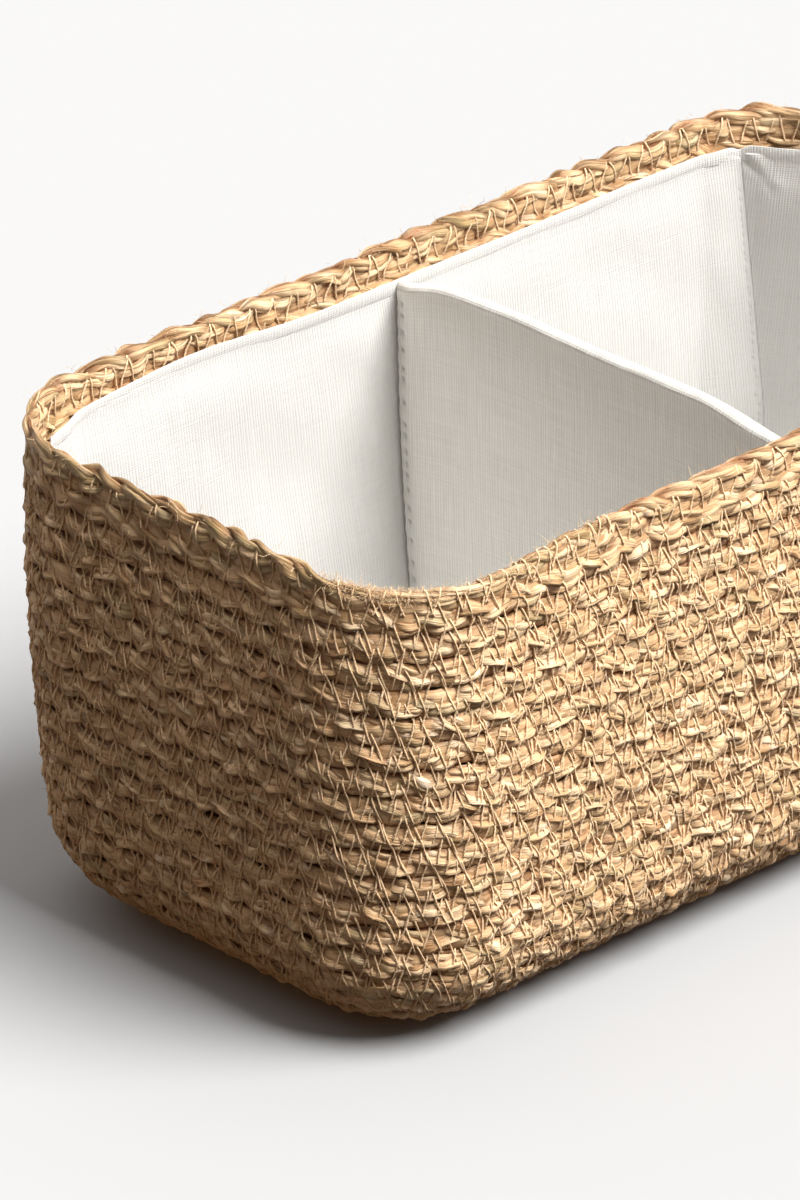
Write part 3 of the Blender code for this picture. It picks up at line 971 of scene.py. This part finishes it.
def rolled_sheet(name, middle, normals, half, fibre, painted_shade, nodes, disc=False):
    """Closed sheet round a grid of middle points (columns, rows), its edges rounded.

    half is one value per column, 0 at the first and last one, where the sheet ends.
    A disc's columns close on themselves and its first row is its middle line.
    """
    turn = np.radians([30, 60, 90, 120, 150])
    half = np.broadcast_to(half, len(middle))[:, None]

    def rounded(centre, normal, inner):
        way = unit(centre - inner)
        return np.stack([centre + half * (math.cos(e) * normal + math.sin(e) * way)
                         for e in turn], 1)
    shift = normals * half[:, None]
    parts = [middle + shift, rounded(middle[:, -1], normals[:, -1], middle[:, -2]),
             (middle - shift)[:, ::-1]]
    if not disc:
        parts.append(rounded(middle[:, 0], -normals[:, 0], middle[:, 1]))
    ring = np.concatenate(parts, 1)
    cols, sides = ring.shape[:2]

    def field(values):
        flat = [values, np.repeat(values[:, -1:], len(turn), 1), values[:, ::-1]]
        if not disc:
            flat.append(np.repeat(values[:, :1], len(turn), 1))
        return np.concatenate(flat, 1)
    faces = loop_faces(cols, sides, closed=disc)
    if disc:
        faces = faces.reshape(cols, sides, 4)[:, :-1].reshape(-1, 4)
    ob = new_mesh(name, ring, faces, LINING, "lining_cloth", nodes, fibre=field(fibre),
                  tint=field(painted_shade))
    weld(ob)
    return ob


def facing(grid):
    """Unit normals of a grid of points, towards the inside of the basket."""
    along, up = np.gradient(grid, axis=0), np.gradient(grid, axis=1)
    return unit(np.cross(up, along))


def spots(points, x, y, radius):
    """1 at each of the points, falling off round it."""
    total = np.zeros(np.shape(x))
    for px, py in points:
        total = np.maximum(total, bell(np.hypot(x - px, y - py) / radius))
    return total


SHEET_EDGE = np.array([0, 0.12, 0.3, 0.55, 0.9]) * MM
FINE_REACH = 9 * MM  # width of the finer columns beside a seam
SEAM_STITCH = 3.1 * MM
STITCH_IN = 1.9 * MM  # distance from the seam to its stitches


def across_shares(width):
    """Column positions across a panel, finer beside its two seams."""
    fine = np.arange(1.4 * MM, FINE_REACH, 0.6 * MM)
    left = np.concatenate([SHEET_EDGE, fine])
    n = int((width - 2 * FINE_REACH) / (1.9 * MM))
    middle = np.linspace(FINE_REACH, width - FINE_REACH, n)
    return np.concatenate([left, middle, (width - left)[::-1]]) / width


def marks(dark):
    """Field of painted shade that darkens the cloth."""
    return xyz(0.0, dark, 0.0)


def lining_wall(name, corner):
    """One wall of the lining, from the seam at a corner to the seam at the next."""
    def seams(z):
        a = seam_q(corner, z)
        b = seam_q((corner + 1) % 4, z)
        return a, np.where(b < a, b + 8, b)

    def metres(q):
        return run_at(q) + np.where(q >= 8, MID_RUN[-1], 0)

    def q_at(run):
        return np.interp(run, np.concatenate([MID_RUN, MID_RUN[1:] + MID_RUN[-1]]), np.arange(17.0))
    qa, qb = seams(np.array(LINING_Z))
    width = float(metres(qb) - metres(qa))
    u = across_shares(width)[:, None]
    s_top = s_at_height(lining_top(q_at(metres(qa) + u * width))) - HEM_H * 0.6
    low = FLOOR_S + 0.6 * MM
    v = np.linspace(0, 1, int((TOTAL_S - low) / (1.15 * MM)))[None, :]
    s = low + (s_top - low) * v
    z = profile(s)[1]
    a, b = seams(z)
    x = u * (metres(b) - metres(a))
    q = q_at(metres(a) + x)
    right = (metres(b) - metres(a)) - x
    seam = np.minimum(x, right)
    loose = 1 - bell(seam / (7 * MM))
    loose = loose * (1 - bell((s_top - s) / (9 * MM)))
    if corner % 2 == 0:
        beside = np.abs(surf(q, s, CLOTH_LIFT)[..., 0] - divider_x(z))
        loose = loose * (1 - 0.95 * bell(beside / (9 * MM)))
    lift = CLOTH_LIFT - LOOSE * loose
    lift = lift - loose * waves(40 + corner, x, s, 28 * MM, 120 * MM, 0.28 * MM)
    lift = lift - loose * waves(50 + corner, x, s * 0.2, 6 * MM, 16 * MM, 0.05 * MM)
    rng = seeded(80 + corner)
    run = np.arange(low + 8 * MM, TOTAL_S - 24 * MM, SEAM_STITCH)
    side = width - STITCH_IN if corner == 3 else STITCH_IN
    points = [(side + rng.normal(0, 0.3 * MM), y + rng.normal(0, 0.35 * MM)) for y in run]
    dent = spots(points, x, s, 0.95 * MM)
    # painted shade in the dimple of each seam stitch, darker at the back right corner
    dark = spots(points, x, s, 0.5 * MM) * (0.75 if corner == 3 else 0.5)
    lift = lift + 0.4 * MM * dent
    if corner == 3:
        down = s_top - s
        t = np.clip((right * 0.55 + down * 0.83 - 2 * MM) / (10 * MM), 0, 1)
        off = np.hypot(right - 9 * MM * t - 0.6 * MM, down - 9.5 * MM * t - 1.2 * MM)
        lift = lift + 0.95 * MM * bell(off / (1.5 * MM)) * (1 - t * 0.4)
        beside = np.hypot(right - 9 * MM * t - 3.6 * MM, down - 9.5 * MM * t + 0.4 * MM)
        lift = lift - 0.6 * MM * bell(beside / (2.4 * MM))
    middle = cloth_point(q, s, lift)
    half = np.full(len(u), CLOTH_HALF)
    half[:5] = CLOTH_HALF * np.array([0, 0.6, 0.85, 0.97, 1])
    half[-5:] = half[:5][::-1]
    fibre = xyz(x, s, 3.0 * corner + 1)
    ob = rolled_sheet("sewn_" + name, middle, facing(middle), half, fibre, marks(dark), [name])


def lining_floor(name):
    steps = np.concatenate([i + np.linspace(0, 1, 14 if i % 2 == 0 else 130 if i % 4 == 1 else 56,
                                            endpoint=False) for i in range(8)])
    q = steps[:, None]
    s = np.linspace(0, FLOOR_S, 46)[None, :]
    p = surf(q, s)
    lift = 0.5 * MM + waves(71, p[..., 0], p[..., 1], 30 * MM, 110 * MM, 0.22 * MM)
    middle = surf(q, s, -(HALF_T + CLOTH_HALF + lift))
    up = np.broadcast_to(np.array([0.0, 0.0, 1.0]), middle.shape)
    fibre = xyz(middle[..., 0], middle[..., 1], 17.0)
    ob = rolled_sheet("sewn_" + name, middle, up, CLOTH_HALF, fibre, 0 * middle, [name], disc=True)


def lining_hem(name):
    q = np.interp(np.arange(900) / 900 * MID_RUN[-1], MID_RUN, WHOLE)
    phi = np.arange(16) / 16 * 2 * PI
    seam = seam_distance(q, LINING_Z)
    thin = 1 - 0.45 * bell(seam / (0.9 * MM))
    dl = np.sign(np.sin(phi)) * np.abs(np.sin(phi)) ** 1.3 * HEM_HALF
    s = (s_at_height(lining_top(q)) - HEM_H / 2)[:, None] + np.cos(phi)[None, :] * HEM_H / 2
    lift = CLOTH_LIFT - 0.08 * MM + dl[None, :] * thin[:, None]
    lift = lift + waves(90, q[:, None] * 60 * MM, s, 9 * MM, 40 * MM, 0.1 * MM)
    verts = cloth_point(np.broadcast_to(q[:, None], s.shape), s, lift)
    new_mesh("sewn_" + name, verts, loop_faces(len(q), len(phi))[:, ::-1], LINING, "lining_cloth",
             [name], fibre=xyz(run_at(q)[:, None], s + lift, 23.0), tint=0 * verts)


lining_hem("lining_hem")
for corner, name in enumerate(("lining_back", "lining_left", "lining_front", "lining_right")):
    lining_wall(name, corner)
lining_floor("lining_bottom")

# ---- build: divider ----
DIVIDER_HALF = 2.5 * MM
DIVIDER_LOW = 7.6 * MM
DIVIDER_TOP = 156 * MM
SIDE_Q = 1.5


def divider_half_width(z):
    """Half width of the space between the linings of the two long walls."""
    s = np.linspace(FLAT_B * 0.6, TOTAL_S, 400)
    p = surf(SIDE_Q, s, CLOTH_LIFT - CLOTH_HALF - 0.25 * MM)
    return np.interp(z, p[:, 2], p[:, 1])


def divider_edge(y):
    """Height of the divider's top edge: it falls towards both walls."""
    back = 1.0 * MM * ease((y - 55 * MM) / (18 * MM)) + \
        4.4 * MM * ease((y - 66 * MM) / (22 * MM))
    front = 3.8 * MM * ease((-y - 42 * MM) / (45 * MM))
    sway = 0.35 * MM * np.cos(2 * PI * y / (82 * MM))
    return DIVIDER_TOP - 0.2 * MM - back - front - sway


def divider_stitches():
    """Heights of the hand stitches that hold one upright edge."""
    rng = seeded(33)
    out, z = [], 16 * MM
    while z < DIVIDER_TOP - 9 * MM:
        out.append(z)
        z += rng.uniform(3.6, 9.0) * MM
    return np.array(out)


def divider_surface(y_share, depth, side, stitches):
    """Points of one face: depth from the top edge down, side -1 or 1."""
    y0 = y_share * (divider_half_width(140 * MM) - 0.3 * MM)
    top = divider_edge(y0) - DIVIDER_HALF
    z = DIVIDER_LOW + (top - DIVIDER_LOW) * (1 - depth)
    half = divider_half_width(z)
    y = y_share * half
    edge = half - np.abs(y)
    full = DIVIDER_HALF * (0.62 + 0.38 * ease(edge / (7 * MM)))
    full = full + waves(101 + side, y, z, 25 * MM, 90 * MM, 0.25 * MM) * ease(edge / (9 * MM))
    pucker = np.zeros(z.shape)
    for at in stitches:
        pucker = np.maximum(pucker, bell((z - at) / (1.7 * MM)))
    full = full - MM * pucker * bell((edge - 2.6 * MM) / (2.2 * MM))
    return y, z, full


def divider_piece():
    width = 2 * divider_half_width(140 * MM)
    fine = np.concatenate([[0, 0.2, 0.5, 0.9], np.arange(1.4, 10, 0.7)]) * MM
    shares = np.concatenate([fine, np.linspace(10 * MM, width - 10 * MM, 110),
                             (width - fine)[::-1]]) / width * 2 - 1
    depth = np.linspace(0, 1, 132)
    stitches = divider_stitches()
    u, d = np.meshgrid(shares, depth, indexing="ij")
    y, z, left = divider_surface(u, d, -1, stitches)
    right = divider_surface(u, d, 1, stitches)[2]
    round_ends = np.clip(np.minimum(shares + 1, 1 - shares) * width / 2 / (0.9 * MM), 0, 1)
    plump = np.sqrt(1 - (1 - round_ends) ** 2)[:, None]
    bend = 0.5 * MM * np.sin(PI * (y / width * 2.2 + 0.4)) * np.clip(z / DIVIDER_TOP, 0, 1)
    centre = divider_x(z) + bend
    left_face = xyz(centre - left * plump, y, z)[:, ::-1]
    right_face = xyz(centre + right * plump, y, z)
    arc = np.radians(np.arange(165, 0, -15))
    crest = []
    for e in arc:
        r = np.where(math.cos(e) < 0, left[:, 0], right[:, 0]) * plump[:, 0]
        crest.append(xyz(centre[:, 0] + r * math.cos(e), y[:, 0], z[:, 0] + DIVIDER_HALF * math.sin(e)))
    crest = np.stack(crest, 1)
    low = np.radians([-45, -90, -135])
    foot = np.stack([xyz(centre[:, -1] + left[:, -1] * plump[:, 0] * math.cos(e), y[:, -1],
                         z[:, -1] + 0.8 * MM * math.sin(e)) for e in low], 1)
    ring = np.concatenate([left_face, crest, right_face, foot], 1)
    n_cols, sides = ring.shape[:2]
    rows = len(depth)
    fold = 0.65 * MM  # cloth between two points over the fold
    run = DIVIDER_TOP + np.concatenate([-depth[::-1] * 0.15, np.arange(len(arc)) * fold,
                                        len(arc) * fold + depth * 0.15, 0.16 + np.arange(3) * MM])
    fibre = xyz(ring[..., 1], run, 31.0)
    dark = np.zeros(ring.shape[:2])
    # painted shade in the dimple of each hand stitch, on both faces
    stitch_shade = np.zeros(z.shape)
    for at in stitches:
        stitch_shade = np.maximum(stitch_shade, bell((z - at) / (0.75 * MM)))
    stitch_shade *= 0.9 * bell((divider_half_width(z) - np.abs(y) - 2.6 * MM) / (0.8 * MM))
    over = rows + len(arc)
    dark[:, :rows], dark[:, over:over + rows] = stitch_shade[:, ::-1], stitch_shade
    # painted shade along the top of the fold, which the light from above leaves too bright
    dark[:, rows:over] = 0.38 + waves(120, ring[:, rows:over, 1], 0.0, 4 * MM, 25 * MM, 0.06)
    ob = new_mesh("padded_divider_cover", ring, loop_faces(n_cols, sides, closed=False), DIVIDER,
                  "divider_cloth", ["divider_cover"], fibre=fibre, tint=marks(dark))
    weld(ob)
    inner = 0.45
    board = np.concatenate([
        xyz(centre - inner * DIVIDER_HALF, y * 0.97, z)[::6, ::-6],
        xyz(centre + inner * DIVIDER_HALF, y * 0.97, z)[::6, ::6]], 1)
    m_cols, m_sides = board.shape[:2]
    faces = loop_faces(m_cols, m_sides, closed=False)
    half = m_sides // 2
    ends = []
    for j in range(half - 1):
        quad = [j, j + 1, m_sides - 2 - j, m_sides - 1 - j]
        ends.append(quad[::-1])
        ends.append([(m_cols - 1) * m_sides + v for v in quad])
    g = Graph("divider_board")
    speck = g.noise(g.vector(*g.attribute("fibre")), 900.0, 3)
    g.set("Base Color", g.ramp(speck, [(0.3, (0.52, 0.44, 0.33)), (0.7, (0.66, 0.58, 0.46))]))
    g.set("Roughness", 0.85)
    new_mesh("inner_divider_board", board, np.concatenate([faces, np.array(ends)]), g.block,
             "divider_board", ["divider_board"], fibre=board)


divider_piece()

# ---- stage, light and camera ----
scene = bpy.context.scene
scene.view_settings.view_transform = "Standard"


def add_stage(name, verts, faces, colours):
    """Floor or backdrop; neither one throws light on the basket."""
    g = Graph("pale_" + name)
    for socket, value in colours.items():
        g.set(socket, value)
    me = bpy.data.meshes.new(name)
    me.from_pydata(verts, [], faces)
    me.materials.append(g.block)
    ob = bpy.data.objects.new(name, me)
    ob.visible_diffuse = False
    scene.collection.objects.link(ob)
    return ob


def add_floor(size=12.0):
    verts = [(-size, -size, 0), (size, -size, 0), (size, size, 0), (-size, size, 0)]
    add_stage("floor", verts, [(0, 1, 2, 3)],
              {"Base Color": (0.356, 0.359, 0.364), "Roughness": 0.9, "Specular IOR Level": 0.1})


def add_backdrop(radius=11.0, low=-0.1, high=6.9, n=96):
    """Pale wall far round the floor: it fills the view at the horizon and lights nothing."""
    verts = [(radius * math.cos(i * 2 * PI / n), radius * math.sin(i * 2 * PI / n), z)
             for z in (low, high) for i in range(n)]
    faces = [((i + 1) % n, i, n + i, n + (i + 1) % n) for i in range(n)]
    ob = add_stage("backdrop", verts, faces,
                   {"Base Color": (0.0, 0.0, 0.0), "Specular IOR Level": 0.0,
                    "Emission Color": (0.945, 0.943, 0.94), "Emission Strength": 1.0})
    ob.visible_glossy = ob.visible_transmission = ob.visible_shadow = False


def direction(azimuth, elevation):
    """Unit vector to azimuth (0 is -Y, 90 is +X) and elevation, in degrees."""
    az, el = math.radians(azimuth), math.radians(elevation)
    return Vector((math.sin(az) * math.cos(el), -math.cos(az) * math.cos(el), math.sin(el)))


def add_sun(name, azimuth, elevation, strength, spread, colour=(1, 1, 1)):
    way = direction(azimuth, elevation)
    data = bpy.data.lights.new(name, 'SUN')
    data.energy = strength
    data.angle = math.radians(spread)
    data.color = colour
    ob = bpy.data.objects.new(name, data)
    ob.location = way * 3
    ob.rotation_euler = way.to_track_quat('Z', 'Y').to_euler()
    scene.collection.objects.link(ob)


def add_camera():
    target, distance, roll = Vector((-0.0407, 0.0437, 0.070)), 3.3159, math.radians(-0.08)
    back = direction(-44.22, 26.52)
    data = bpy.data.cameras.new("camera")
    data.sensor_width = 36
    data.lens = 324.73
    data.clip_start, data.clip_end = 0.1, 100
    ob = bpy.data.objects.new("camera", data)
    turn = back.to_track_quat('Z', 'Y').to_matrix().to_4x4() @ Matrix.Rotation(roll, 4, 'Z')
    ob.matrix_world = Matrix.Translation(target + back * distance) @ turn
    scene.collection.objects.link(ob)
    scene.camera = ob


WORLD_BRIGHT = tuple(0.55 * c for c in (1.0, 0.99, 0.98))  # soft box above and to the right
WORLD_DIM = tuple(0.07 * c for c in (1.0, 0.58, 0.26))  # the dim left side
WORLD_BEHIND = 2.2  # extra strength behind the basket


def add_world():
    g = Graph("studio", bpy.data.worlds, "Background")
    x, y, z = g.split(g.nodes.new("ShaderNodeTexCoord").outputs["Generated"])
    right = g.mul(g.rise(z, -0.05, 0.35), g.rise(x, -0.7, 0.5))
    g.set("Color", g.mix(g.math('MAXIMUM', right, g.rise(z, 0.45, 0.9)), WORLD_DIM, WORLD_BRIGHT))
    g.set("Strength", g.math('MULTIPLY_ADD', g.rise(y, 0.3, 0.95), WORLD_BEHIND, 1.0))
    scene.world = g.block


add_floor()
add_backdrop()
add_world()
add_sun("key", 20, 57, 7.2, 36, (1.0, 0.985, 0.97))
add_sun("top", 80, 74, 0.7, 60, (1.0, 0.99, 0.98))
add_camera()
